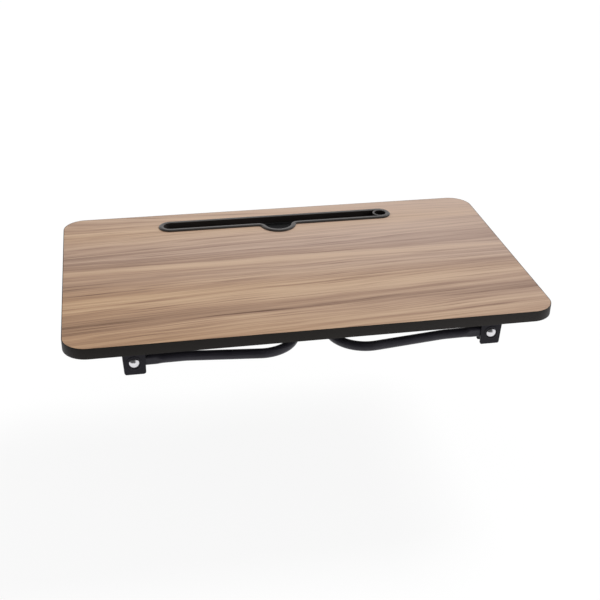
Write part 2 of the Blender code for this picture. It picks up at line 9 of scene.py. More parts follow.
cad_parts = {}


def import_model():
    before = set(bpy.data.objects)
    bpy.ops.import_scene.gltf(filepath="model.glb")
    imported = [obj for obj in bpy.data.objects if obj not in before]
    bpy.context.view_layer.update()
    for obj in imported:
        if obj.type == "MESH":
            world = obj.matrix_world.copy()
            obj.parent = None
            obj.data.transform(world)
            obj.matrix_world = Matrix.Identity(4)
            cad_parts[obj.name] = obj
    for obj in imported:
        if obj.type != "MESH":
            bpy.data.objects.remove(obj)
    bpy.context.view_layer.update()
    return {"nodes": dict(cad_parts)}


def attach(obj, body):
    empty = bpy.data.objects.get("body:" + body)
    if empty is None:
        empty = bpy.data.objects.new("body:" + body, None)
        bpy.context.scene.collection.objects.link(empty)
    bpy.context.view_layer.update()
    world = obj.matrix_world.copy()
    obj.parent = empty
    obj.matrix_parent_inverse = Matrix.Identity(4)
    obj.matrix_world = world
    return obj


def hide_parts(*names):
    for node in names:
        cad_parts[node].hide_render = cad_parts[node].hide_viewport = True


# Board
BOARD_WIDTH = 0.600
BOARD_DEPTH = 0.360
BOARD_THICKNESS = 0.014
BOARD_CORNER_RADIUS = 0.030
LAMINATE_THICKNESS = 0.0008
EDGE_BAND_THICKNESS = 0.0015
EDGE_BAND_ROUNDING = 0.0005
EDGE_BAND_LIP_GAP = 0.0001
SHEET_FROM_EDGE = 0.0009
SHEET_ROUNDING = 0.0002
GAP = 0.0003

# Slot insert
SLOT_LENGTH = 0.338
SLOT_WIDTH = 0.0327
SLOT_FROM_BACK_EDGE = 0.0429
SLOT_OFFSET_X = 0.0015
BULGE_RADIUS = 0.0255
BULGE_OFFSET = 0.0138
BULGE_FILLET = 0.005
FLANGE_HEIGHT = 0.0022
FLANGE_LIP = 0.0008
FLANGE_LIP_ROUNDING = 0.0001
FLANGE_SLOPE = 0.0020
FLANGE_SLOPE_FOOT = 0.06
FLANGE_SLOPE_SHOULDER = 0.90
FLANGE_SHOULDER_DROP = 0.00012
FLANGE_CREST_DROP = 0.00003
FLANGE_CREST_WIDTH = 0.0002
FLANGE_OVERHANG = 0.0024
RIM_WIDTH = 0.0066
RIM_DISH = 0.0003
RIM_ROUNDING = 0.0006
POCKET_DEPTH = 0.0105
INSERT_FLOOR = 0.0015
INSERT_DRAFT = 0.0003
FLOOR_FILLET = 0.0012
PEN_HOLE_RADIUS = 0.0082
PEN_RING_WALL = 0.0028
PEN_RING_DROP = 0.0002
PEN_RING_ROUNDING = 0.0005
PEN_HOLE_FROM_END = 0.0148

# Leg
TUBE_RADIUS = 0.0060
TUBE_WALL = 0.0012
PRESSED_THICKNESS = 0.0095
PRESSED_WIDENING = 0.13
PRESSED_LENGTH = 0.0245
PRESSED_TAPER = 0.010
LEG_HEEL = 0.0070
FOLDED_LEGS_GAP = 0.028
LEG_CORNER_RADIUS = 0.044
SPLAY_START = 0.057
SPLAY_BEND_RADIUS = 0.060
SPLAY_OUT = 0.0111
FOOT_ARCH = 0.022
FOOT_ARCH_HALF_FLAT = 0.030
FOOT_ARCH_RUN = 0.045
HANG_LEFT = math.radians(-0.4)
HANG_RIGHT = math.radians(0.7)
OPEN_ANGLE = math.radians(102.6)

# Foot sleeve
SLEEVE_WALL = 0.0017
SLEEVE_LENGTH = 0.034
SLEEVE_ROUNDING = 0.0004
SLEEVE_RIBS = 3
SLEEVE_RIB_HEIGHT = 0.0005

# Bracket
PIVOT_FROM_BOARD_END = 0.081
PIVOT_DROP = 0.0165
BRACKET_HEIGHT = 0.032
BRACKET_INSET = 0.010
SHEET = 0.0015
BEND_RADIUS = 0.0020
CHEEK_INNER_REACH = 0.0134
CHEEK_OUTER_TOP = 0.0139
CHEEK_OUTER_BOTTOM = 0.0120
CHEEK_CORNER_RADIUS = 0.0030
RIB_INNER_RADIUS = 0.0072
RIB_OUTER_RADIUS = 0.0094
RIB_HEIGHT = 0.0006
PLATE_LENGTH = 0.022
PLATE_WIDTH = 0.025
PLATE_CORNER_RADIUS = 0.0040
PLATE_OVERLAP = 0.004

# Rivet
RIVET_SHANK_RADIUS = 0.0030
RIVET_HEAD_RADIUS = 0.0060
RIVET_HEAD_HEIGHT = 0.0031
RIVET_EDGE_HEIGHT = 0.0002
RIVET_TAIL_RADIUS = 0.0046
RIVET_TAIL_HEIGHT = 0.0016

# Screw
SCREW_SHANK_RADIUS = 0.0018
SCREW_ROOT_RADIUS = 0.0013
SCREW_HEAD_RADIUS = 0.0038
SCREW_HEAD_HEIGHT = 0.0022
SCREW_NECK = 0.0004
SCREW_LENGTH = 0.0100
SCREW_TIP = 0.0030
SCREW_POINT = 0.00002
SCREW_PITCH = 0.0012
SCREW_CREST_SLOPE = 4
SCREW_SPREAD = 0.0145
SCREW_FROM_END = 0.0085
RECESS_LENGTH = 0.0040
RECESS_WIDTH = 0.0010
RECESS_DEPTH = 0.0011

# Fineness of round shapes
BOARD_CORNER_STEPS = 24
SMALL_CORNER_STEPS = 12
SLOT_END_STEPS = 40
BULGE_STEPS = 48
TURN_STEPS = 48
PEN_RING_STEPS = 96
TUBE_SIDES_RESOLUTION = 14
TUBE_CORNER_STEPS = 32
TUBE_TAPER_STEPS = 12
TUBE_ARCH_STEPS = 18
SLEEVE_RIB_STEPS = 12
THREAD_SIDES = 24
THREAD_ROWS = 100
CUT_MARGIN = 0.002
MERGE_DISTANCE = 0.000001

# Places that follow from the sizes
UNDERSIDE_Z = BRACKET_HEIGHT
TOP_Z = UNDERSIDE_Z + BOARD_THICKNESS
RIM_Z = TOP_Z + FLANGE_HEIGHT
PEN_RING_Z = RIM_Z - PEN_RING_DROP
INSERT_BOTTOM_Z = TOP_Z - POCKET_DEPTH + GAP
INSERT_FLOOR_Z = INSERT_BOTTOM_Z + INSERT_FLOOR
PIVOT_Z = UNDERSIDE_Z - PIVOT_DROP
CHANNEL_WIDTH = PRESSED_THICKNESS + 2 * GAP
BRACKET_DEPTH = CHANNEL_WIDTH + 2 * SHEET
CHEEK_SLOPE = (CHEEK_OUTER_TOP - CHEEK_OUTER_BOTTOM) / BRACKET_HEIGHT
ARM_Y = BOARD_DEPTH / 2 - BRACKET_INSET - BRACKET_DEPTH / 2
PIVOT_X = BOARD_WIDTH / 2 - PIVOT_FROM_BOARD_END
SLOT_Y = BOARD_DEPTH / 2 - SLOT_FROM_BACK_EDGE
PEN_HOLE_X = SLOT_OFFSET_X + SLOT_LENGTH / 2 - PEN_HOLE_FROM_END
SLEEVE_RADIUS = TUBE_RADIUS + GAP + SLEEVE_WALL
LEG_REACH = PIVOT_X - FOLDED_LEGS_GAP / 2 - SLEEVE_RADIUS
CORNER_X = LEG_REACH - LEG_CORNER_RADIUS
SPLAY = math.atan(SPLAY_OUT / (CORNER_X - SPLAY_START))
SPLAY_BEND_X = SPLAY_START + SPLAY_BEND_RADIUS * math.sin(SPLAY)
SPLAY_BEND_OUT = SPLAY_BEND_RADIUS * (1 - math.cos(SPLAY))
CORNER_START_X = CORNER_X - LEG_CORNER_RADIUS * math.sin(SPLAY)
CORNER_START_OUT = SPLAY_BEND_OUT + (CORNER_START_X - SPLAY_BEND_X) * math.tan(SPLAY)
CORNER_Y = ARM_Y + CORNER_START_OUT - LEG_CORNER_RADIUS * math.cos(SPLAY)
ARCH_START_Y = FOOT_ARCH_HALF_FLAT + FOOT_ARCH_RUN
PLATE_END_X = -CHEEK_INNER_REACH - PLATE_LENGTH
SCREW_X = PLATE_END_X + SCREW_FROM_END

# Course of the wood grain; noise scales are in cells per metre along x, y and z
WOOD_RISE = [
    (0.00, 0.18), (0.35, 0.175), (0.50, 0.12), (0.56, 0.10), (0.62, 0.14), (0.68, 0.17), (0.74, 0.16),
    (0.86, 0.10), (1.00, 0.02),
]
WOOD_FALL = 0.10
WOOD_BAND_CLIMB = 0.4
WOOD_WANDER = 0.008
WOOD_WANDER_SCALE = (2.2, 8.0, 1.0)
WOOD_WAVE = 0.0035
WOOD_WAVE_SCALE = (6.0, 26.0, 1.0)

# Light and dark in the wood, with painted light that grows towards the right and painted shade at both
# ends
WOOD_BASE = 0.143
WOOD_PAINTED_SIDE_LIGHT = 0.27
WOOD_PAINTED_END_SHADE = 1.5
WOOD_BANDS = [
    (0.000, 0.61), (0.100, 0.63), (0.135, 0.59), (0.165, 0.36), (0.190, 0.38), (0.215, 0.51),
    (0.245, 0.67), (0.290, 0.81), (0.345, 0.67), (0.370, 0.54), (0.395, 0.58), (0.455, 0.71),
    (0.485, 0.56), (0.508, 0.71), (0.530, 0.93), (0.553, 0.88), (0.563, 0.47), (0.590, 0.48),
    (0.625, 0.60), (0.685, 0.64), (0.730, 0.70), (0.810, 0.84), (0.900, 0.82), (1.000, 0.86),
]
STREAK_TONE = 0.68
STREAK_SCALE = (1.3, 120.0, 1.0)
FIBRE_TONE = 0.42
FIBRE_SCALE = (9.0, 620.0, 1.0)
VEIN_TONE = 0.32
VEINS_PER_METRE = 110.0
VEIN_SHARPNESS = 9.0
VEIN_DRIFT = 1.6
VEIN_DRIFT_SCALE = (1.7, 13.0, 1.0)
VEIN_PATCHES = [(0.46, 0.0), (0.64, 1.0)]
VEIN_PATCH_SCALE = (2.2, 55.0, 1.0)
DASH_TONE = 0.40
DASHES = [(0.56, 0.0), (0.72, 1.0)]
DASH_SCALE = (7.0, 330.0, 1.0)

# Colours of the wood, warm and greyer, as screen colours for each tone
WARM_TONES = [
    (0.00, (104, 72, 49)),
    (0.30, (149, 115, 87)),
    (0.65, (180, 143, 111)),
    (1.00, (209, 176, 140)),
]
COOL_TONES = [
    (0.00, (116, 88, 73)),
    (0.30, (154, 127, 113)),
    (0.65, (181, 154, 139)),
    (1.00, (206, 179, 160)),
]
WOOD_CAST = [
    (0.00, 0.36), (0.17, 0.48), (0.34, 0.20), (0.46, 0.58), (0.53, 0.42), (0.64, 0.76), (0.74, 0.58),
    (0.84, 0.12), (1.00, 0.42),
]
WOOD_CAST_DEPTH = 0.8
WOOD_CAST_ACROSS = 1.8
WOOD_CAST_MIDDLE = 0.62

# Painted light along the edge band, and painted shade on the floor of the insert's groove
BAND_PAINTED_LIGHT_PER_METRE = 1.2
MOULDING_PAINTED_SHADE_RISE = 0.0025

# Floor
FLOOR_GAP = 0.0002
FLOOR_Z = PIVOT_Z - LEG_REACH * math.sin(OPEN_ANGLE) - SLEEVE_RADIUS - FLOOR_GAP
FLOOR_RADIUS = 12
FLOOR_SIDES = 64
FLOOR_LEVEL = 0.92
FLOOR_GLOW = 0.85
FLOOR_GLOW_STRENGTH = 1.05

# Light
WHITE = (1.0, 1.0, 1.0)
WALL_TOP = 0.45
WALL_LEVEL = 1.0
CEILING_START = 0.85
CEILING_LEVEL = 0.35
FRONT_DIRECTION = (-0.55, -0.80, 0.25)
FRONT_EDGE = 0.20
FRONT_CORE = 0.70
FRONT_LEVEL = 0.12
SUN_PLACE = (0.9, 1.0, 1.3)
SUN_STRENGTH = 2.05
SUN_ANGLE = math.radians(22)

# Camera, fitted to the photograph
CAMERA_PLACE = (-0.22929, -1.20102, TOP_Z + 0.61086)
CAMERA_YAW = 11.3044
CAMERA_PITCH = 28.6410
CAMERA_ROLL = 1.00067
CAMERA_LENS = 61.590
CAMERA_SENSOR = 36


# Shapes

def arc(centre_x, centre_y, radius, start, end, steps):
    """Points along an arc, angles in degrees, both ends included."""
    points = []
    for step in range(steps + 1):
        angle = math.radians(start + (end - start) * step / steps)
        points.append((centre_x + radius * math.cos(angle), centre_y + radius * math.sin(angle)))
    return points


def smooth(share):
    """An S-shaped rise from 0 to 1."""
    return (1 - math.cos(math.pi * share)) / 2


def rounded_rectangle(width, depth, radius, steps, centre_x=0.0):
    """Counter-clockwise outline of a rectangle with round corners."""
    dx = width / 2 - radius
    dy = depth / 2 - radius
    outline = arc(centre_x + dx, dy, radius, 0, 90, steps)
    outline += arc(centre_x - dx, dy, radius, 90, 180, steps)
    outline += arc(centre_x - dx, -dy, radius, 180, 270, steps)
    outline += arc(centre_x + dx, -dy, radius, 270, 360, steps)
    return outline


def new_object(name, data):
    """An object in the scene's own collection."""
    obj = bpy.data.objects.new(name, data)
    bpy.context.scene.collection.objects.link(obj)
    return obj


def mesh_object(name, shape):
    """An object from a bmesh, which it uses up."""
    mesh = bpy.data.meshes.new(name)
    shape.to_mesh(mesh)
    shape.free()
    return new_object(name, mesh)


def curve_object(name, runs, dimensions, closed):
    """A curve object with straight stretches through runs of (x, y) points."""
    curve = bpy.data.curves.new(name, "CURVE")
    curve.dimensions = dimensions
    for run in runs:
        spline = curve.splines.new("POLY")
        spline.points.add(len(run) - 1)
        for point, (x, y) in zip(spline.points, run):
            point.co = (x, y, 0, 1)
        spline.use_cyclic_u = closed
    return new_object(name, curve)


def applied(obj):
    """Replace an object's curve or modifiers by the plain mesh that they give."""
    bpy.context.view_layer.update()
    depsgraph = bpy.context.evaluated_depsgraph_get()
    mesh = bpy.data.meshes.new_from_object(obj.evaluated_get(depsgraph))
    shape = bmesh.new()
    shape.from_mesh(mesh)
    bmesh.ops.remove_doubles(shape, verts=shape.verts, dist=MERGE_DISTANCE)
    shape.to_mesh(mesh)
    shape.free()
    place = obj.matrix_world.copy()
    name = obj.name
    bpy.data.objects.remove(obj, do_unlink=True)
    solid = new_object(name, mesh)
    solid.matrix_world = place
    return solid


def shade_round(obj, angle=35):
    """Shade an object smooth, with its real corners sharp."""
    obj.data.shade_smooth()
    obj.data.set_sharp_from_angle(angle=math.radians(angle))


def plate(name, outlines, thickness, middle_z):
    """A flat plate between closed outlines; every outline after the first is a window."""
    obj = curve_object(name, outlines, "2D", closed=True)
    obj.data.fill_mode = "BOTH"
    obj.data.extrude = thickness / 2
    obj.location.z = middle_z
    return obj


def turned(name, profile, steps=TURN_STEPS, closed=False):
    """A solid of revolution about Z from (radius, height) points."""
    count = len(profile)
    edges = [(i, i + 1) for i in range(count - 1)]
    if closed:
        edges.append((count - 1, 0))
    mesh = bpy.data.meshes.new(name)
    mesh.from_pydata([(radius, 0, z) for radius, z in profile], edges, [])
    obj = new_object(name, mesh)
    screw = obj.modifiers.new("Turn", "SCREW")
    screw.axis = "Z"
    screw.steps = steps
    screw.render_steps = steps
    screw.use_merge_vertices = True
    screw.merge_threshold = MERGE_DISTANCE
    return applied(obj)


def cylinder(name, radius, depth):
    """A plain cylinder about Z, centred on its origin, for cutting with."""
    shape = bmesh.new()
    bmesh.ops.create_cone(shape, cap_ends=True, segments=TURN_STEPS,
                          radius1=radius, radius2=radius, depth=depth)
    return mesh_object(name, shape)


def bridge(shape, rings, closed=False):
    """Faces from each ring of points to the next, and if closed, from the last to the first."""
    following = rings[1:] + rings[:1] if closed else rings[1:]
    for lower, upper in zip(rings, following):
        for i in range(len(lower)):
            j = (i + 1) % len(lower)
            shape.faces.new((lower[i], lower[j], upper[j], upper[i]))


def cap(shape, rings):
    """Close the first and the last ring of points."""
    shape.faces.new(list(reversed(rings[0])))
    shape.faces.new(rings[-1])


def lofted(name, levels, outline, closed=False):
    """A skin through an outline at (inset, height) levels, its ends capped or joined."""
    shape = bmesh.new()
    rings = []
    for inset, z in levels:
        rings.append([shape.verts.new((x, y, z)) for x, y in outline(inset)])
    bridge(shape, rings, closed)
    if not closed:
        cap(shape, rings)
    bmesh.ops.recalc_face_normals(shape, faces=shape.faces)
    return mesh_object(name, shape)


def cut(target, tools, operation="DIFFERENCE"):
    """Cut an object with others, or join or intersect them, and drop the others."""
    for tool in tools:
        modifier = target.modifiers.new(tool.name, "BOOLEAN")
        modifier.operation = operation
        modifier.solver = "EXACT"
        modifier.object = tool
    solid = applied(target)
    for tool in tools:
        bpy.data.objects.remove(tool, do_unlink=True)
    return solid


def softened(obj, width, segments, angle=40):
    """Round an object's real corners."""
    bevel = obj.modifiers.new("Softened corners", "BEVEL")
    bevel.width = width
    bevel.segments = segments
    bevel.limit_method = "ANGLE"
    bevel.angle_limit = math.radians(angle)
    return applied(obj)


def thickened(obj, thickness):
    """Give an object's skin a wall, inwards."""
    wall = obj.modifiers.new("Wall", "SOLIDIFY")
    wall.thickness = thickness
    wall.offset = -1
    wall.use_even_offset = True
    return applied(obj)


def mirrored(obj, name, flip_x, flip_y):
    """A copy of an object's mesh, mirrored in x, y or both."""
    mesh = obj.data.copy()
    mesh.name = name
    shape = bmesh.new()
    shape.from_mesh(mesh)
    flip = Matrix.Diagonal((flip_x, flip_y, 1, 1))
    bmesh.ops.transform(shape, matrix=flip, verts=shape.verts)
    if flip_x * flip_y < 0:
        bmesh.ops.reverse_faces(shape, faces=shape.faces)
    shape.to_mesh(mesh)
    shape.free()
    return new_object(name, mesh)


# Finishes

def srgb(red, green, blue):
    """A colour as seen on a screen, 0 to 255, as linear light."""
    linear = []
    for channel in (red, green, blue):
        share = channel / 255
        linear.append(share / 12.92 if share <= 0.04045 else ((share + 0.055) / 1.055) ** 2.4)
    return tuple(linear)


class Nodes:
    """The nodes of a material or a world, with a short call for each kind that is used."""

    def __init__(self, tree):
        self.nodes = tree.nodes
        self.links = tree.links

    def plug(self, socket, value):
        """Link an output to an input, or set the input."""
        if isinstance(value, bpy.types.NodeSocket):
            self.links.new(value, socket)
        else:
            socket.default_value = value

    def math(self, operation, first, second=0.0, clamp=False):
        """One sum of two values."""
        node = self.nodes.new("ShaderNodeMath")
        node.operation = operation
        node.use_clamp = clamp
        self.plug(node.inputs[0], first)
        self.plug(node.inputs[1], second)
        return node.outputs[0]

    def axis(self, vector, name):
        """The X, Y or Z of a vector."""
        node = self.nodes.new("ShaderNodeSeparateXYZ")
        self.plug(node.inputs[0], vector)
        return node.outputs[name]

    def ramp(self, value, stops):
        """A colour ramp through (position, colour or grey) stops."""
        node = self.nodes.new("ShaderNodeValToRGB")
        elements = node.color_ramp.elements
        while len(elements) < len(stops):
            elements.new(0.5)
        for element, (position, colour) in zip(elements, stops):
            element.position = position
        for element, (position, colour) in zip(elements, stops):
            if not isinstance(colour, tuple):
                colour = (colour, colour, colour)
            element.color = (*colour, 1)
        self.plug(node.inputs[0], value)
        return node.outputs[0]

    def mix(self, factor, first, second, blend="MIX"):
        """A blend of two colours."""
        node = self.nodes.new("ShaderNodeMix")
        node.data_type = "RGBA"
        node.blend_type = blend
        self.plug(node.inputs[0], factor)
        for socket, value in ((node.inputs[6], first), (node.inputs[7], second)):
            self.plug(socket, (*value, 1) if isinstance(value, tuple) else value)
        return node.outputs[2]

    def mix_shaders(self, factor, first, second):
        """A blend of two shaders."""
        node = self.nodes.new("ShaderNodeMixShader")
        self.plug(node.inputs[0], factor)
        self.plug(node.inputs[1], first)
        self.plug(node.inputs[2], second)
        return node.outputs[0]


class Finish(Nodes):
    """A new material's nodes, with its shader and the place on the piece."""

    def __init__(self, name):
        self.material = bpy.data.materials.new(name)
        self.material.use_nodes = True
        super().__init__(self.material.node_tree)
        self.shader = self.nodes["Principled BSDF"]
        self.place = self.nodes.new("ShaderNodeTexCoord").outputs["Object"]

    def set(self, **values):
        """Set or link the shader's inputs, named with underscores."""
        for name, value in values.items():
            self.plug(self.shader.inputs[name.replace("_", " ")], value)

    def colour(self):
        """What is linked to the shader's colour so far."""
        return self.shader.inputs["Base Color"].links[0].from_socket

    def noise(self, scale, detail=2.0, roughness=0.5, source=None):
        """Soft noise over the piece, or over a source, in cells per metre on each axis."""
        stretch = self.nodes.new("ShaderNodeMapping")
        self.plug(stretch.inputs["Vector"], source or self.place)
        stretch.inputs["Scale"].default_value = scale
        node = self.nodes.new("ShaderNodeTexNoise")
        node.inputs["Scale"].default_value = 1.0
        node.inputs["Detail"].default_value = detail
        node.inputs["Roughness"].default_value = roughness
        self.plug(node.inputs["Vector"], stretch.outputs[0])
        return node.outputs[0]

    def spread(self, value, low, high):
        """A 0 to 1 value moved to the range from low to high."""
        node = self.nodes.new("ShaderNodeMapRange")
        self.plug(node.inputs["Value"], value)
        node.inputs["To Min"].default_value = low
        node.inputs["To Max"].default_value = high
        return node.outputs[0]

    def bump(self, height, distance):
        """Relief of the surface, with its depth in metres."""
        node = self.nodes.new("ShaderNodeBump")
        node.inputs["Strength"].default_value = 1.0
        node.inputs["Distance"].default_value = distance
        self.plug(node.inputs["Height"], height)
        self.plug(self.shader.inputs["Normal"], node.outputs[0])


def wood_course(finish, x, y):
    """How far the grain climbs along x, and its wandering place across the board."""
    depth = finish.math("ADD", finish.math("DIVIDE", y, BOARD_DEPTH), 0.5)
    rise = finish.math("SUBTRACT", finish.ramp(depth, WOOD_RISE), WOOD_FALL)
    climb = finish.math("MULTIPLY", x, rise)
    slow = finish.noise(WOOD_WANDER_SCALE)
    quick = finish.noise(WOOD_WAVE_SCALE, detail=3.0)
    wander = finish.math("ADD", y, finish.spread(slow, -WOOD_WANDER, WOOD_WANDER))
    wander = finish.math("ADD", wander, finish.spread(quick, -WOOD_WAVE, WOOD_WAVE))
    return climb, wander


def wood_veins(finish, flow, across):
    """Thin dark growth lines, uneven in their spacing, strong in some places and faint in others."""
    drift = finish.noise(VEIN_DRIFT_SCALE, source=flow)
    even_count = finish.math("MULTIPLY", across, VEINS_PER_METRE)
    count = finish.math("ADD", even_count, finish.spread(drift, -VEIN_DRIFT, VEIN_DRIFT))
    distance = finish.math("ABSOLUTE", finish.math("SUBTRACT", finish.math("FRACT", count), 0.5))
    fading = finish.math("MULTIPLY", distance, VEIN_SHARPNESS)
    line = finish.math("SUBTRACT", 1.0, fading, clamp=True)
    strength = finish.ramp(finish.noise(VEIN_PATCH_SCALE, source=flow), VEIN_PATCHES)
    veins = finish.math("MULTIPLY", finish.math("MULTIPLY", line, strength), VEIN_TONE)
    dashes = finish.ramp(finish.noise(DASH_SCALE, source=flow), DASHES)
    return finish.math("ADD", veins, finish.math("MULTIPLY", dashes, DASH_TONE))


def wood_painted_light(finish, x):
    """The level of the wood along x: painted light that makes it lighter towards the right, and
    painted shade at the ends.
    """
    light = finish.math("SUBTRACT", WOOD_PAINTED_SIDE_LIGHT, finish.math("MULTIPLY", x, WOOD_PAINTED_END_SHADE))
    return finish.math("ADD", finish.math("MULTIPLY", x, light), WOOD_BASE)


def wood_cast(finish, x, y, band_place):
    """How grey the wood is, 0 to 1: more to the right and the back, and in some bands."""
    grey = finish.math("ADD", x, finish.math("MULTIPLY", y, WOOD_CAST_ACROSS))
    band_cast = finish.math("MULTIPLY", finish.ramp(band_place, WOOD_CAST), WOOD_CAST_DEPTH)
    grey = finish.math("ADD", grey, band_cast)
    return finish.math("ADD", grey, WOOD_CAST_MIDDLE - WOOD_CAST_DEPTH / 2, clamp=True)


def wood_colours(finish, tone, tones):
    """Colours of the wood for its tone, from light and dark stops in screen colours."""
    return finish.ramp(tone, [(position, srgb(*colour)) for position, colour in tones])


def wood_laminate():
    """Printed wood grain along x: broad bands, wandering streaks, veins and fine fibres, with painted
    light and shade along x.
    """
    finish = Finish("wood_laminate_looks")
    x = finish.axis(finish.place, "X")
    y = finish.axis(finish.place, "Y")
    climb, wander = wood_course(finish, x, y)
    across = finish.math("SUBTRACT", wander, climb)
    combined = finish.nodes.new("ShaderNodeCombineXYZ")
    finish.plug(combined.inputs[0], x)
    finish.plug(combined.inputs[1], across)
    flow = combined.outputs[0]

    level = finish.math("SUBTRACT", wander, finish.math("MULTIPLY", climb, WOOD_BAND_CLIMB))
    band_place = finish.math("ADD", finish.math("DIVIDE", level, BOARD_DEPTH), 0.5)
    bands = finish.ramp(band_place, WOOD_BANDS)
    streaks = finish.noise(STREAK_SCALE, detail=4.0, roughness=0.62, source=flow)
    fibres = finish.noise(FIBRE_SCALE, detail=3.0, roughness=0.65, source=flow)
    tone = finish.math("ADD", bands, finish.spread(streaks, -STREAK_TONE, STREAK_TONE))
    tone = finish.math("ADD", tone, finish.spread(fibres, -FIBRE_TONE, FIBRE_TONE))
    tone = finish.math("SUBTRACT", tone, wood_veins(finish, flow, across))
    # painted light and shade: the wood is lighter towards the right and darker at both ends
    tone = finish.math("ADD", tone, wood_painted_light(finish, x))

    warm = wood_colours(finish, tone, WARM_TONES)
    cool = wood_colours(finish, tone, COOL_TONES)
    finish.set(Base_Color=finish.mix(wood_cast(finish, x, y, band_place), warm, cool))
    finish.set(Roughness=finish.spread(fibres, 0.42, 0.56), Specular_IOR_Level=0.3)
    finish.bump(fibres, 0.00004)
    return finish.material


def fibreboard():
    """Raw pressed fibre: mottled brown with short fibres."""
    finish = Finish("fibreboard_looks")
    clumps = finish.noise((260, 260, 900), detail=4.0)
    fibres = finish.noise((1400, 2600, 5200), detail=3.0, roughness=0.7)
    tone = finish.math("MULTIPLY", clumps, 0.5)
    tone = finish.math("ADD", tone, finish.math("MULTIPLY", fibres, 0.5))
    stops = [(0.3, srgb(128, 98, 68)), (0.5, srgb(164, 131, 95)), (0.7, srgb(188, 158, 120))]
    finish.set(Base_Color=finish.ramp(tone, stops), Roughness=0.9)
    finish.bump(fibres, 0.0001)
    return finish.material


def grained(name, dark, light, grain, relief, low, high):
    """A dark surface with a fine grain, a slight cloud in its tone, and low to high roughness."""
    finish = Finish(name)
    cloud = finish.noise((18, 18, 18), detail=3.0)
    pits = finish.noise((grain, grain, grain), detail=3.0, roughness=0.6)
    finish.set(Base_Color=finish.ramp(cloud, [(0.3, dark), (0.7, light)]))
    finish.set(Roughness=finish.spread(pits, low, high))
    finish.bump(pits, relief)
    return finish


def dark_backing():
    """Matte backing laminate with a faint paper texture."""
    finish = grained("dark_backing_looks", dark=srgb(40, 39, 38), light=srgb(50, 49, 47),
                     grain=900, relief=0.00003, low=0.5, high=0.75)
    return finish.material


def black_edge_band():
    """Matte plastic band with fine lines along it from its extrusion, with painted light that makes it
    lighter towards the right.
    """
    finish = Finish("black_edge_band_looks")
    lines = finish.noise((30, 30, 2600), detail=3.0)
    cloud = finish.spread(finish.noise((14, 14, 60)), 0.2, 0.8)
    # painted light: the band grows lighter towards the right, mixed with a random cloud in its tone
    along = finish.math("MULTIPLY", finish.axis(finish.place, "X"), BAND_PAINTED_LIGHT_PER_METRE)
    tone_and_painted_light = finish.math("ADD", along, cloud, clamp=True)
    finish.set(Base_Color=finish.ramp(tone_and_painted_light, [(0.0, srgb(27, 23, 19)), (1.0, srgb(48, 44, 42))]))
    finish.set(Roughness=finish.spread(lines, 0.42, 0.6), Specular_IOR_Level=0.2)
    finish.bump(lines, 0.00003)
    return finish.material


def black_moulding():
    """Satin moulded plastic with a fine spark texture, and painted shade that darkens the floor of its
    groove.
    """
    finish = grained("black_moulding_looks", dark=srgb(52, 47, 45), light=srgb(62, 56, 53),
                     grain=1800, relief=0.00002, low=0.20, high=0.30)
    # painted shade: the colour is darker near the floor of the groove, where shade falls
    above_floor = finish.math("SUBTRACT", finish.axis(finish.place, "Z"), INSERT_FLOOR_Z)
    height = finish.math("DIVIDE", above_floor, MOULDING_PAINTED_SHADE_RISE, clamp=True)
    finish.set(Base_Color=finish.mix(height, srgb(40, 41, 42), finish.colour()))
    return finish.material


def black_painted_steel():
    """Powder coat on pressed steel, with its orange-peel relief."""
    finish = grained("black_painted_steel_looks", dark=srgb(24, 22, 29), light=srgb(35, 33, 42),
                     grain=700, relief=0.00006, low=0.28, high=0.42)
    finish.set(Specular_IOR_Level=0.19)
    return finish.material


def black_gloss_steel():
    """Soft gloss enamel on the tube, with a faint cloud in its tone and a light peel."""
    finish = Finish("black_gloss_steel_looks")
    cloud = finish.noise((40, 40, 40), detail=3.0)
    peel = finish.noise((420, 420, 420))
    finish.set(Base_Color=finish.ramp(cloud, [(0.3, srgb(46, 44, 52)), (0.7, srgb(58, 56, 65))]))
    finish.set(Roughness=finish.spread(cloud, 0.3, 0.4), Specular_IOR_Level=0.25)
    finish.bump(peel, 0.00004)
    return finish.material


def bright_nickel():
    """Nickel plate with handling haze."""
    finish = Finish("bright_nickel_looks")
    haze = finish.noise((350, 350, 350), detail=4.0)
    finish.set(Base_Color=finish.ramp(haze, [(0.3, (0.68, 0.67, 0.70)), (0.7, (0.79, 0.78, 0.81))]))
    finish.set(Metallic=1.0, Roughness=finish.spread(haze, 0.14, 0.26))
    finish.bump(haze, 0.00002)
    return finish.material


def zinc_plated_steel():
    """Zinc plate, with its yellow-blue bloom."""
    finish = Finish("zinc_plated_steel_looks")
    bloom = finish.noise((420, 420, 420), detail=3.0)
    scratches = finish.noise((2600, 2600, 500), detail=3.0)
    stops = [(0.3, (0.46, 0.47, 0.50)), (0.55, (0.58, 0.56, 0.50)), (0.75, (0.52, 0.54, 0.52))]
    finish.set(Base_Color=finish.ramp(bloom, stops))
    finish.set(Metallic=1.0, Roughness=finish.spread(scratches, 0.26, 0.44))
    finish.bump(scratches, 0.00002)
    return finish.material


def black_rubber():
    """Dull rubber with a dusty bloom."""
    finish = grained("black_rubber_looks", dark=srgb(30, 30, 30), light=srgb(44, 43, 42),
                     grain=1500, relief=0.00005, low=0.72, high=0.9)
    return finish.material


# Board pieces

def board_outline(inset):
    """The board's outline, drawn in by an inset."""
    width = BOARD_WIDTH - 2 * inset
    depth = BOARD_DEPTH - 2 * inset
    return rounded_rectangle(width, depth, BOARD_CORNER_RADIUS - inset, BOARD_CORNER_STEPS)


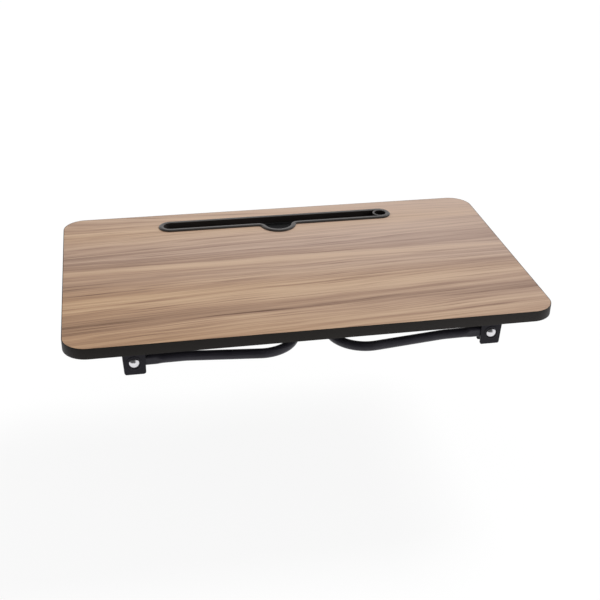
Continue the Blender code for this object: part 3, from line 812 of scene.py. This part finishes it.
def slot_outline(inset):
    """The insert's outline, drawn in by an inset: round ends, and a filleted bulge to the front."""
    half_width = SLOT_WIDTH / 2 - inset
    end_x = SLOT_LENGTH / 2 - SLOT_WIDTH / 2
    radius = BULGE_RADIUS - inset
    fillet = BULGE_FILLET + inset
    fillet_y = -half_width - fillet
    lift = fillet_y + BULGE_OFFSET
    fillet_x = math.sqrt((radius + fillet) ** 2 - lift ** 2)
    meet = math.degrees(math.atan2(-lift, fillet_x))
    points = arc(end_x, 0, half_width, -90, 90, SLOT_END_STEPS)
    points += arc(-end_x, 0, half_width, 90, 270, SLOT_END_STEPS)
    points += arc(-fillet_x, fillet_y, fillet, 90, meet, SMALL_CORNER_STEPS)
    points += arc(0, -BULGE_OFFSET, radius, 180 + meet, 360 - meet, BULGE_STEPS)[1:-1]
    points += arc(fillet_x, fillet_y, fillet, 180 - meet, 90, SMALL_CORNER_STEPS)
    return [(x + SLOT_OFFSET_X, y + SLOT_Y) for x, y in points]


def make_top_laminate():
    """The printed sheet, over the band's inner step, with the window for the insert."""
    window = slot_outline(FLANGE_OVERHANG - GAP)
    outlines = [board_outline(SHEET_FROM_EDGE), window]
    sheet = plate("printed_sheet", outlines, LAMINATE_THICKNESS, TOP_Z - LAMINATE_THICKNESS / 2)
    return softened(applied(sheet), SHEET_ROUNDING, segments=2, angle=60)


def make_edge_band():
    """The plastic band round the board, rounded outside and stepped inside for the printed sheet."""
    step_z = TOP_Z - LAMINATE_THICKNESS - GAP
    rounding = EDGE_BAND_ROUNDING
    lip_radius = SHEET_FROM_EDGE / 2
    lip_inset = SHEET_FROM_EDGE - EDGE_BAND_LIP_GAP
    profile = arc(rounding, UNDERSIDE_Z + rounding, rounding, 270, 180, steps=4)
    profile += arc(lip_radius, TOP_Z - lip_radius, lip_radius, 180, 90, steps=3)
    profile += [(lip_inset, TOP_Z - EDGE_BAND_LIP_GAP), (lip_inset, step_z)]
    profile += [(EDGE_BAND_THICKNESS, step_z), (EDGE_BAND_THICKNESS, UNDERSIDE_Z)]
    band = lofted("board_edge", profile, board_outline, closed=True)
    shade_round(band)
    return band


def insert_levels():
    """The insert's section: up its outside, over the flange and the rim, and down to its floor."""
    seat_z = TOP_Z + GAP
    lip_z = seat_z + FLANGE_LIP
    small = FLANGE_LIP_ROUNDING
    levels = [(FLANGE_OVERHANG + INSERT_DRAFT, INSERT_BOTTOM_Z), (FLANGE_OVERHANG, seat_z)]
    levels += [(small, seat_z), (0, seat_z + small), (0, lip_z - small)]
    levels.append((FLANGE_SLOPE * FLANGE_SLOPE_FOOT, lip_z + small))
    levels.append((FLANGE_SLOPE * FLANGE_SLOPE_SHOULDER, RIM_Z - FLANGE_SHOULDER_DROP))
    levels.append((FLANGE_SLOPE, RIM_Z - FLANGE_CREST_DROP))
    levels.append((FLANGE_SLOPE + FLANGE_CREST_WIDTH, RIM_Z))
    inner_z = RIM_Z - RIM_DISH - RIM_ROUNDING
    levels += arc(RIM_WIDTH - RIM_ROUNDING, inner_z, RIM_ROUNDING, 90, 0, steps=5)
    foot = RIM_WIDTH + INSERT_DRAFT + FLOOR_FILLET
    levels += arc(foot, INSERT_FLOOR_Z + FLOOR_FILLET, FLOOR_FILLET, 180, 270, steps=5)
    return levels


def pen_ring():
    """The raised ring round the pen hole, still without its hole."""
    outer = PEN_HOLE_RADIUS + PEN_RING_WALL
    rounding = PEN_RING_ROUNDING
    bottom_z = INSERT_BOTTOM_Z + INSERT_FLOOR / 2
    profile = [(0, PEN_RING_Z)]
    profile += arc(outer - rounding, PEN_RING_Z - rounding, rounding, 90, 0, steps=4)
    profile += [(outer, bottom_z), (0, bottom_z)]
    ring = turned("pen_ring", profile, PEN_RING_STEPS)
    ring.location = (PEN_HOLE_X, SLOT_Y, 0)
    return ring


def pen_hole():
    """The room in the pen ring, with its rounded mouth, for cutting with."""
    rounding = PEN_RING_ROUNDING
    mouth = PEN_HOLE_RADIUS + rounding
    top_z = RIM_Z + CUT_MARGIN
    profile = [(0, top_z), (mouth, top_z), (mouth, PEN_RING_Z)]
    profile += arc(mouth, PEN_RING_Z - rounding, rounding, 90, 180, steps=4)[1:]
    profile += [(PEN_HOLE_RADIUS, INSERT_FLOOR_Z), (0, INSERT_FLOOR_Z)]
    hole = turned("pen_hole", profile, PEN_RING_STEPS)
    hole.location = (PEN_HOLE_X, SLOT_Y, 0)
    return hole


def make_slot_insert():
    """The moulded insert, with rounded rim edges, a filleted floor and the pen ring."""
    insert = lofted("slot_moulding", insert_levels(), slot_outline)
    insert = cut(insert, [pen_ring()], "UNION")
    insert = cut(insert, [pen_hole()])
    shade_round(insert, angle=28)
    return insert


# Bracket pieces

def corners():
    """The four bracket places: name, x side, y side."""
    return [("front_left", -1, -1), ("front_right", 1, -1), ("rear_left", -1, 1), ("rear_right", 1, 1)]


def bracket_cup():
    """The bent sheet: web, two cheeks and the slanted end wall that stops the open leg."""
    web_z = PIVOT_DROP - GAP
    bottom_z = -PIVOT_Z - CUT_MARGIN
    shape = bmesh.new()
    bmesh.ops.create_cube(shape, size=1.0)
    for vertex in shape.verts:
        z = web_z if vertex.co.z > 0 else bottom_z
        outer_x = CHEEK_OUTER_BOTTOM + CHEEK_SLOPE * (z + PIVOT_Z)
        vertex.co.x = outer_x if vertex.co.x > 0 else -CHEEK_INNER_REACH
        vertex.co.y = math.copysign(BRACKET_DEPTH / 2, vertex.co.y)
        vertex.co.z = z
    open_faces = [face for face in shape.faces if face.normal.z < -0.5 or face.normal.x < -0.5]
    bmesh.ops.delete(shape, geom=open_faces, context="FACES_ONLY")
    cup = softened(mesh_object("bracket_cup", shape), BEND_RADIUS, segments=7)
    return thickened(cup, SHEET)


def cheek_outline():
    """Side view of the cup with its round lower corners, wide and tall enough to keep all else."""
    bottom = -PIVOT_Z
    top = PIVOT_DROP + CUT_MARGIN
    radius = CHEEK_CORNER_RADIUS
    inner_x = -CHEEK_INNER_REACH
    lean = math.degrees(math.atan(CHEEK_SLOPE))
    reach = radius * (1 - math.sin(math.radians(lean))) / math.cos(math.radians(lean))
    centre_x = CHEEK_OUTER_BOTTOM - reach
    outline = arc(inner_x + radius, bottom + radius, radius, 180, 270, SMALL_CORNER_STEPS)
    outline += arc(centre_x, bottom + radius, radius, 270, 360 - lean, SMALL_CORNER_STEPS)
    outline += [(CHEEK_OUTER_TOP + CUT_MARGIN, top), (inner_x - CUT_MARGIN, top)]
    outline += [(inner_x - CUT_MARGIN, PIVOT_DROP / 2), (inner_x, PIVOT_DROP / 2)]
    return outline


def cheek_trim():
    """A block with the cup's side view, for trimming it with."""
    trim = plate("cheek_trim", [cheek_outline()], BRACKET_DEPTH + 2 * CUT_MARGIN, 0)
    trim.rotation_euler.x = math.radians(90)
    return applied(trim)


def screw_plate():
    """The flat plate that two screws hold to the board."""
    start = -CHEEK_INNER_REACH + PLATE_OVERLAP
    middle_x = (PLATE_END_X + start) / 2
    outline = rounded_rectangle(start - PLATE_END_X, PLATE_WIDTH, PLATE_CORNER_RADIUS,
                                SMALL_CORNER_STEPS, middle_x)
    return applied(plate("screw_plate", [outline], SHEET, PIVOT_DROP - GAP - SHEET / 2))


def rivet_rib():
    """The raised ring round the rivet's head."""
    face_y = BRACKET_DEPTH / 2
    middle = (RIB_INNER_RADIUS + RIB_OUTER_RADIUS) / 2
    half = (RIB_OUTER_RADIUS - RIB_INNER_RADIUS) / 2
    profile = []
    for across, out in arc(0, 0, 1, 180, 0, steps=10):
        profile.append((middle + half * across, face_y + RIB_HEIGHT * out))
    profile += [(RIB_OUTER_RADIUS, face_y - SHEET / 2), (RIB_INNER_RADIUS, face_y - SHEET / 2)]
    rib = turned("rivet_rib", profile, closed=True)
    rib.rotation_euler.x = math.radians(-90)
    return rib


def bracket_holes():
    """The rivet's hole through both cheeks, and two screw holes, for cutting with."""
    rivet_hole = cylinder("rivet_hole", RIVET_SHANK_RADIUS + GAP, BRACKET_DEPTH + 2 * CUT_MARGIN)
    rivet_hole.rotation_euler.x = math.radians(90)
    holes = [rivet_hole]
    for side in (-1, 1):
        hole = cylinder(f"screw_hole_{side}", SCREW_SHANK_RADIUS + GAP, SHEET + 2 * CUT_MARGIN)
        hole.location = (SCREW_X, side * SCREW_SPREAD / 2, PIVOT_DROP - SHEET / 2)
        holes.append(hole)
    return holes


def make_bracket_pattern():
    """One whole bracket, with its pivot at the origin."""
    bracket = cut(bracket_cup(), [cheek_trim()], "INTERSECT")
    bracket = cut(bracket, [screw_plate(), rivet_rib()], "UNION")
    return cut(bracket, bracket_holes())


def make_brackets():
    """Four handed brackets."""
    pattern = make_bracket_pattern()
    brackets = []
    for name, side_x, side_y in corners():
        bracket = mirrored(pattern, f"{name}_pressing", side_x, side_y)
        bracket.location = (side_x * PIVOT_X, side_y * ARM_Y, PIVOT_Z)
        shade_round(bracket, angle=30)
        brackets.append((bracket, f"{name}_bracket"))
    bpy.data.objects.remove(pattern, do_unlink=True)
    return brackets


def rivet_profile():
    """A rivet's section from the top of its dome, down its shank, to its formed tail."""
    seat = BRACKET_DEPTH / 2 + GAP
    edge = RIVET_EDGE_HEIGHT
    dome = RIVET_HEAD_HEIGHT - edge
    dome_radius = (RIVET_HEAD_RADIUS ** 2 + dome ** 2) / (2 * dome)
    reach = math.degrees(math.asin(RIVET_HEAD_RADIUS / dome_radius))
    profile = arc(0, seat + edge + dome - dome_radius, dome_radius, 90, 90 - reach, steps=14)
    profile += arc(RIVET_HEAD_RADIUS - edge, seat + edge, edge, 0, -90, steps=2)
    profile += [(RIVET_SHANK_RADIUS, seat), (RIVET_SHANK_RADIUS, -seat)]
    for across, up in arc(0, 0, 1, 0, -90, steps=8):
        profile.append((RIVET_TAIL_RADIUS * max(across, 0), -seat + RIVET_TAIL_HEIGHT * up))
    return profile


def make_rivets():
    """Four domed rivets, head outwards."""
    profile = rivet_profile()
    rivets = []
    for name, side_x, side_y in corners():
        rivet = turned(f"{name}_dome", profile)
        rivet.location = (side_x * PIVOT_X, side_y * ARM_Y, PIVOT_Z)
        rivet.rotation_euler.x = -side_y * math.radians(90)
        shade_round(rivet)
        rivets.append((rivet, f"{name}_rivet"))
    return rivets


def thread_radius(z, share):
    """The threaded shank's radius at a height, and at a share of the way round."""
    phase = (z / SCREW_PITCH - share) % 1
    crest = max(0.0, 1 - abs(phase - 0.5) * SCREW_CREST_SLOPE)
    radius = SCREW_ROOT_RADIUS + (SCREW_SHANK_RADIUS - SCREW_ROOT_RADIUS) * crest
    return radius * min(1.0, max(SCREW_LENGTH - z, SCREW_POINT) / SCREW_TIP)


def thread_mesh(shape):
    """A threaded shank from the screw's bearing face up to its point."""
    rings = []
    for row in range(THREAD_ROWS + 1):
        z = SCREW_LENGTH * row / THREAD_ROWS
        ring = []
        for side in range(THREAD_SIDES):
            share = side / THREAD_SIDES
            radius = thread_radius(z, share)
            angle = 2 * math.pi * share
            ring.append(shape.verts.new((radius * math.cos(angle), radius * math.sin(angle), z)))
        rings.append(ring)
    bridge(shape, rings)
    cap(shape, rings)


def screw_head():
    """A pan head with a cross recess, and a neck that reaches into the thread."""
    profile = [(0, SCREW_NECK), (SCREW_SHANK_RADIUS, SCREW_NECK), (SCREW_SHANK_RADIUS, 0)]
    for across, down in arc(0, 0, 1, 0, 90, steps=10):
        profile.append((SCREW_HEAD_RADIUS * across, -SCREW_HEAD_HEIGHT * down))
    head = turned("screw_head", profile)
    recess = []
    for turn in (0, 90):
        outline = rounded_rectangle(RECESS_LENGTH, RECESS_WIDTH, RECESS_WIDTH / 4, steps=4)
        wing = plate(f"recess_{turn}", [outline], 2 * RECESS_DEPTH, -SCREW_HEAD_HEIGHT)
        wing.rotation_euler.z = math.radians(turn)
        recess.append(applied(wing))
    return cut(head, recess)


def make_screw_pattern():
    """One pan-head screw with a coarse thread, point up."""
    head = screw_head()
    shape = bmesh.new()
    thread_mesh(shape)
    shape.from_mesh(head.data)
    bpy.data.objects.remove(head, do_unlink=True)
    screw = mesh_object("screw_pattern", shape)
    shade_round(screw)
    return screw


def make_screws():
    """Two screws in each bracket's plate, with their recesses at different angles."""
    pattern = make_screw_pattern()
    bearing_z = UNDERSIDE_Z - GAP - SHEET - GAP
    screws = []
    for name, side_x, side_y in corners():
        for letter, side in (("a", -1), ("b", 1)):
            screw = new_object(f"{name}_fixing_{letter}", pattern.data.copy())
            screw_y = side_y * (ARM_Y + side * SCREW_SPREAD / 2)
            screw.location = (side_x * (PIVOT_X + SCREW_X), screw_y, bearing_z)
            screw.rotation_euler.z = side_x + side + side_y
            screws.append((screw, f"{name}_screw_{letter}"))
    bpy.data.objects.remove(pattern, do_unlink=True)
    return screws


# Leg pieces

def leg_half_path():
    """Centre line of half a leg, from its heel to the middle of the foot bar."""
    splay = math.degrees(SPLAY)
    bend_y = -ARM_Y - SPLAY_BEND_RADIUS
    points = [(-LEG_HEEL, -ARM_Y), (PRESSED_LENGTH, -ARM_Y)]
    for step in range(1, TUBE_TAPER_STEPS + 1):
        points.append((PRESSED_LENGTH + PRESSED_TAPER * step / TUBE_TAPER_STEPS, -ARM_Y))
    points += arc(SPLAY_START, bend_y, SPLAY_BEND_RADIUS, 90, 90 - splay, steps=5)
    points += arc(CORNER_X, -CORNER_Y, LEG_CORNER_RADIUS, -90 - splay, 0, TUBE_CORNER_STEPS)
    for step in range(TUBE_ARCH_STEPS + 1):
        share = step / TUBE_ARCH_STEPS
        points.append((LEG_REACH - FOOT_ARCH * smooth(share), -ARCH_START_Y + FOOT_ARCH_RUN * share))
    return points


def press_ends_flat(mesh):
    """Press the ends of the leg's tube between flat jaws, with rounded shoulders."""
    for vertex in mesh.vertices:
        along = (vertex.co.x - PRESSED_LENGTH) / PRESSED_TAPER
        pressed = 1 - smooth(min(max(along, 0), 1))
        if pressed == 0 or abs(vertex.co.y) < CORNER_Y:
            continue
        side = math.copysign(1, vertex.co.y)
        limit = TUBE_RADIUS + pressed * (PRESSED_THICKNESS / 2 - TUBE_RADIUS)
        across = min(max(side * vertex.co.y - ARM_Y, -limit), limit)
        vertex.co.y = side * (ARM_Y + across)
        vertex.co.z *= 1 + pressed * PRESSED_WIDENING


def leg_holes():
    """The rivet holes of a leg's two ends, for cutting with."""
    holes = []
    for side in (-1, 1):
        hole = cylinder(f"leg_hole_{side}", RIVET_SHANK_RADIUS + GAP, 2 * TUBE_RADIUS + 2 * CUT_MARGIN)
        hole.rotation_euler.x = math.radians(90)
        hole.location.y = side * ARM_Y
        holes.append(hole)
    return holes


def make_leg_pattern():
    """One leg: hollow tube, pressed ends, and a rivet hole through each end."""
    half = leg_half_path()
    path = half + [(x, -y) for x, y in reversed(half)]
    leg = curve_object("leg_pattern", [path], "3D", closed=False)
    leg.data.bevel_depth = TUBE_RADIUS
    leg.data.bevel_resolution = TUBE_SIDES_RESOLUTION
    leg = applied(leg)
    press_ends_flat(leg.data)
    leg = thickened(leg, TUBE_WALL)
    leg = cut(leg, leg_holes())
    shade_round(leg, angle=40)
    return leg


def sleeve_profile():
    """Closed section of a ribbed sleeve: down the ribbed outside, then up the bore."""
    inner = TUBE_RADIUS + GAP
    outer = SLEEVE_RADIUS - SLEEVE_RIB_HEIGHT
    rounding = SLEEVE_ROUNDING
    half = SLEEVE_LENGTH / 2
    pitch = SLEEVE_LENGTH / (SLEEVE_RIBS + 1)
    profile = arc(outer - rounding, half - rounding, rounding, 90, 0, steps=4)
    for rib in range(SLEEVE_RIBS):
        middle = half - pitch * (rib + 1)
        for step in range(SLEEVE_RIB_STEPS + 1):
            share = step / SLEEVE_RIB_STEPS
            lift = SLEEVE_RIB_HEIGHT * math.sin(math.pi * share)
            profile.append((outer + lift, middle + pitch / 4 - pitch / 2 * share))
    profile += arc(outer - rounding, rounding - half, rounding, 0, -90, steps=4)
    profile += [(inner, -half), (inner, half)]
    return profile


def make_legs():
    """Both legs with their sleeves, at their rest angles."""
    pattern = make_leg_pattern()
    sleeve_y = (CORNER_Y + ARCH_START_Y) / 2
    lying = Matrix.Rotation(math.radians(90), 4, "X")
    pieces = []
    for name, side_x, hang in (("left", -1, HANG_LEFT), ("right", 1, HANG_RIGHT)):
        pivot = Matrix.Translation((side_x * PIVOT_X, 0, PIVOT_Z))
        turn = Matrix.Rotation(math.radians(0 if side_x < 0 else 180), 4, "Z")
        place = pivot @ turn @ Matrix.Rotation(hang, 4, "Y")
        leg = new_object(f"{name}_tube", pattern.data.copy())
        leg.matrix_world = place
        pieces.append((leg, f"{name}_leg", f"{name}_leg"))
        for end, side_y in (("front", side_x), ("rear", -side_x)):
            sleeve = turned(f"{name}_{end}_foot", sleeve_profile(), closed=True)
            shade_round(sleeve, angle=50)
            local = Matrix.Translation((LEG_REACH, side_y * sleeve_y, 0)) @ lying
            sleeve.matrix_world = place @ local
            pieces.append((sleeve, f"{name}_leg_{end}_sleeve", f"{name}_leg"))
    bpy.data.objects.remove(pattern, do_unlink=True)
    return pieces


# Dressing

def dress(piece, node, body, finish):
    """Put a new piece in place of a CAD node, with its finish."""
    piece.data.materials.clear()
    piece.data.materials.append(finish)
    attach(piece, body)
    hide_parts(node)


def dress_tray(frame):
    """Every piece of the tray, new or carried over."""
    for node, finish in (("board_core", fibreboard()), ("bottom_laminate", dark_backing())):
        frame["nodes"][node].data.materials[0] = finish
    dress(make_top_laminate(), "top_laminate", "tray", wood_laminate())
    dress(make_edge_band(), "edge_band", "tray", black_edge_band())
    dress(make_slot_insert(), "slot_insert", "tray", black_moulding())
    painted = black_painted_steel()
    for piece, node in make_brackets():
        dress(piece, node, "tray", painted)
    nickel = bright_nickel()
    for piece, node in make_rivets():
        dress(piece, node, "tray", nickel)
    zinc = zinc_plated_steel()
    for piece, node in make_screws():
        dress(piece, node, "tray", zinc)
    gloss = black_gloss_steel()
    rubber = black_rubber()
    for piece, node, body in make_legs():
        if node == body:
            dress(piece, node, body, gloss)
        else:
            dress(piece, node, body, rubber)


# Floor, light and camera

def floor_finish():
    """Pale floor: white to the camera and in gloss, with a faint shadow, and clear from below."""
    material = bpy.data.materials.new("floor")
    material.use_nodes = True
    tree = Nodes(material.node_tree)
    tree.nodes.remove(tree.nodes["Principled BSDF"])
    diffuse = tree.nodes.new("ShaderNodeBsdfDiffuse")
    diffuse.inputs["Color"].default_value = (FLOOR_LEVEL, FLOOR_LEVEL, FLOOR_LEVEL, 1)
    glow = tree.nodes.new("ShaderNodeEmission")
    glow.inputs["Color"].default_value = (*WHITE, 1)
    glow.inputs["Strength"].default_value = FLOOR_GLOW_STRENGTH
    clear = tree.nodes.new("ShaderNodeBsdfTransparent")
    back = tree.nodes.new("ShaderNodeNewGeometry").outputs["Backfacing"]
    path = tree.nodes.new("ShaderNodeLightPath")
    to_camera = path.outputs["Is Camera Ray"]
    in_gloss = path.outputs["Is Glossy Ray"]
    share = tree.math("MULTIPLY", tree.math("MAXIMUM", to_camera, in_gloss), FLOOR_GLOW)
    pale = tree.mix_shaders(share, diffuse.outputs[0], glow.outputs[0])
    from_below = tree.math("MULTIPLY", to_camera, back)
    one_sided = tree.mix_shaders(from_below, pale, clear.outputs[0])
    tree.plug(tree.nodes["Material Output"].inputs["Surface"], one_sided)
    return material


def make_floor():
    """A wide plain floor, at the height that the open legs stand on."""
    shape = bmesh.new()
    bmesh.ops.create_circle(shape, cap_ends=True, segments=FLOOR_SIDES, radius=FLOOR_RADIUS)
    floor = mesh_object("floor", shape)
    floor.location.z = FLOOR_Z
    floor.data.materials.append(floor_finish())


def make_world():
    """Surroundings: white to the camera, and else pale, dimmer above and dark at the front left."""
    world = bpy.data.worlds.new("studio")
    bpy.context.scene.world = world
    world.use_nodes = True
    tree = Nodes(world.node_tree)
    direction = tree.nodes.new("ShaderNodeTexCoord").outputs["Generated"]
    height = tree.axis(direction, "Z")
    walls = tree.ramp(height, [(WALL_TOP, WALL_LEVEL), (CEILING_START, CEILING_LEVEL)])
    forward = tree.nodes.new("ShaderNodeVectorMath")
    forward.operation = "DOT_PRODUCT"
    tree.plug(forward.inputs[0], direction)
    tree.plug(forward.inputs[1], FRONT_DIRECTION)
    front = tree.ramp(forward.outputs["Value"], [(FRONT_EDGE, 1.0), (FRONT_CORE, FRONT_LEVEL)])
    level = tree.mix(1.0, walls, front, blend="MULTIPLY")
    path = tree.nodes.new("ShaderNodeLightPath")
    seen = tree.mix(path.outputs["Is Camera Ray"], level, WHITE)
    tree.plug(tree.nodes["Background"].inputs["Color"], seen)


def make_sun():
    """A broad soft key from above and behind, which isn't mirrored in gloss."""
    data = bpy.data.lights.new("key", "SUN")
    data.energy = SUN_STRENGTH
    data.angle = SUN_ANGLE
    lamp = new_object("key", data)
    lamp.location = SUN_PLACE
    lamp.rotation_euler = (-Vector(SUN_PLACE)).to_track_quat("-Z", "Y").to_euler()
    lamp.visible_glossy = False


def make_camera():
    """The photograph's view."""
    yaw = math.radians(CAMERA_YAW)
    pitch = math.radians(CAMERA_PITCH)
    roll = math.radians(CAMERA_ROLL)
    ahead = math.cos(pitch)
    forward = Vector((math.sin(yaw) * ahead, math.cos(yaw) * ahead, -math.sin(pitch)))
    level_right = forward.cross(Vector((0, 0, 1))).normalized()
    level_up = level_right.cross(forward)
    right = level_right * math.cos(roll) + level_up * math.sin(roll)
    up = level_up * math.cos(roll) - level_right * math.sin(roll)
    data = bpy.data.cameras.new("camera")
    data.lens = CAMERA_LENS
    data.sensor_width = CAMERA_SENSOR
    camera = new_object("camera", data)
    turn = Matrix((right, up, -forward)).transposed().to_4x4()
    camera.matrix_world = Matrix.Translation(CAMERA_PLACE) @ turn
    bpy.context.scene.camera = camera


def main():
    """Load the frame, dress it, and light it."""
    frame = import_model()
    dress_tray(frame)
    make_floor()
    make_world()
    make_sun()
    make_camera()
    bpy.context.scene.view_settings.view_transform = "Standard"


main()
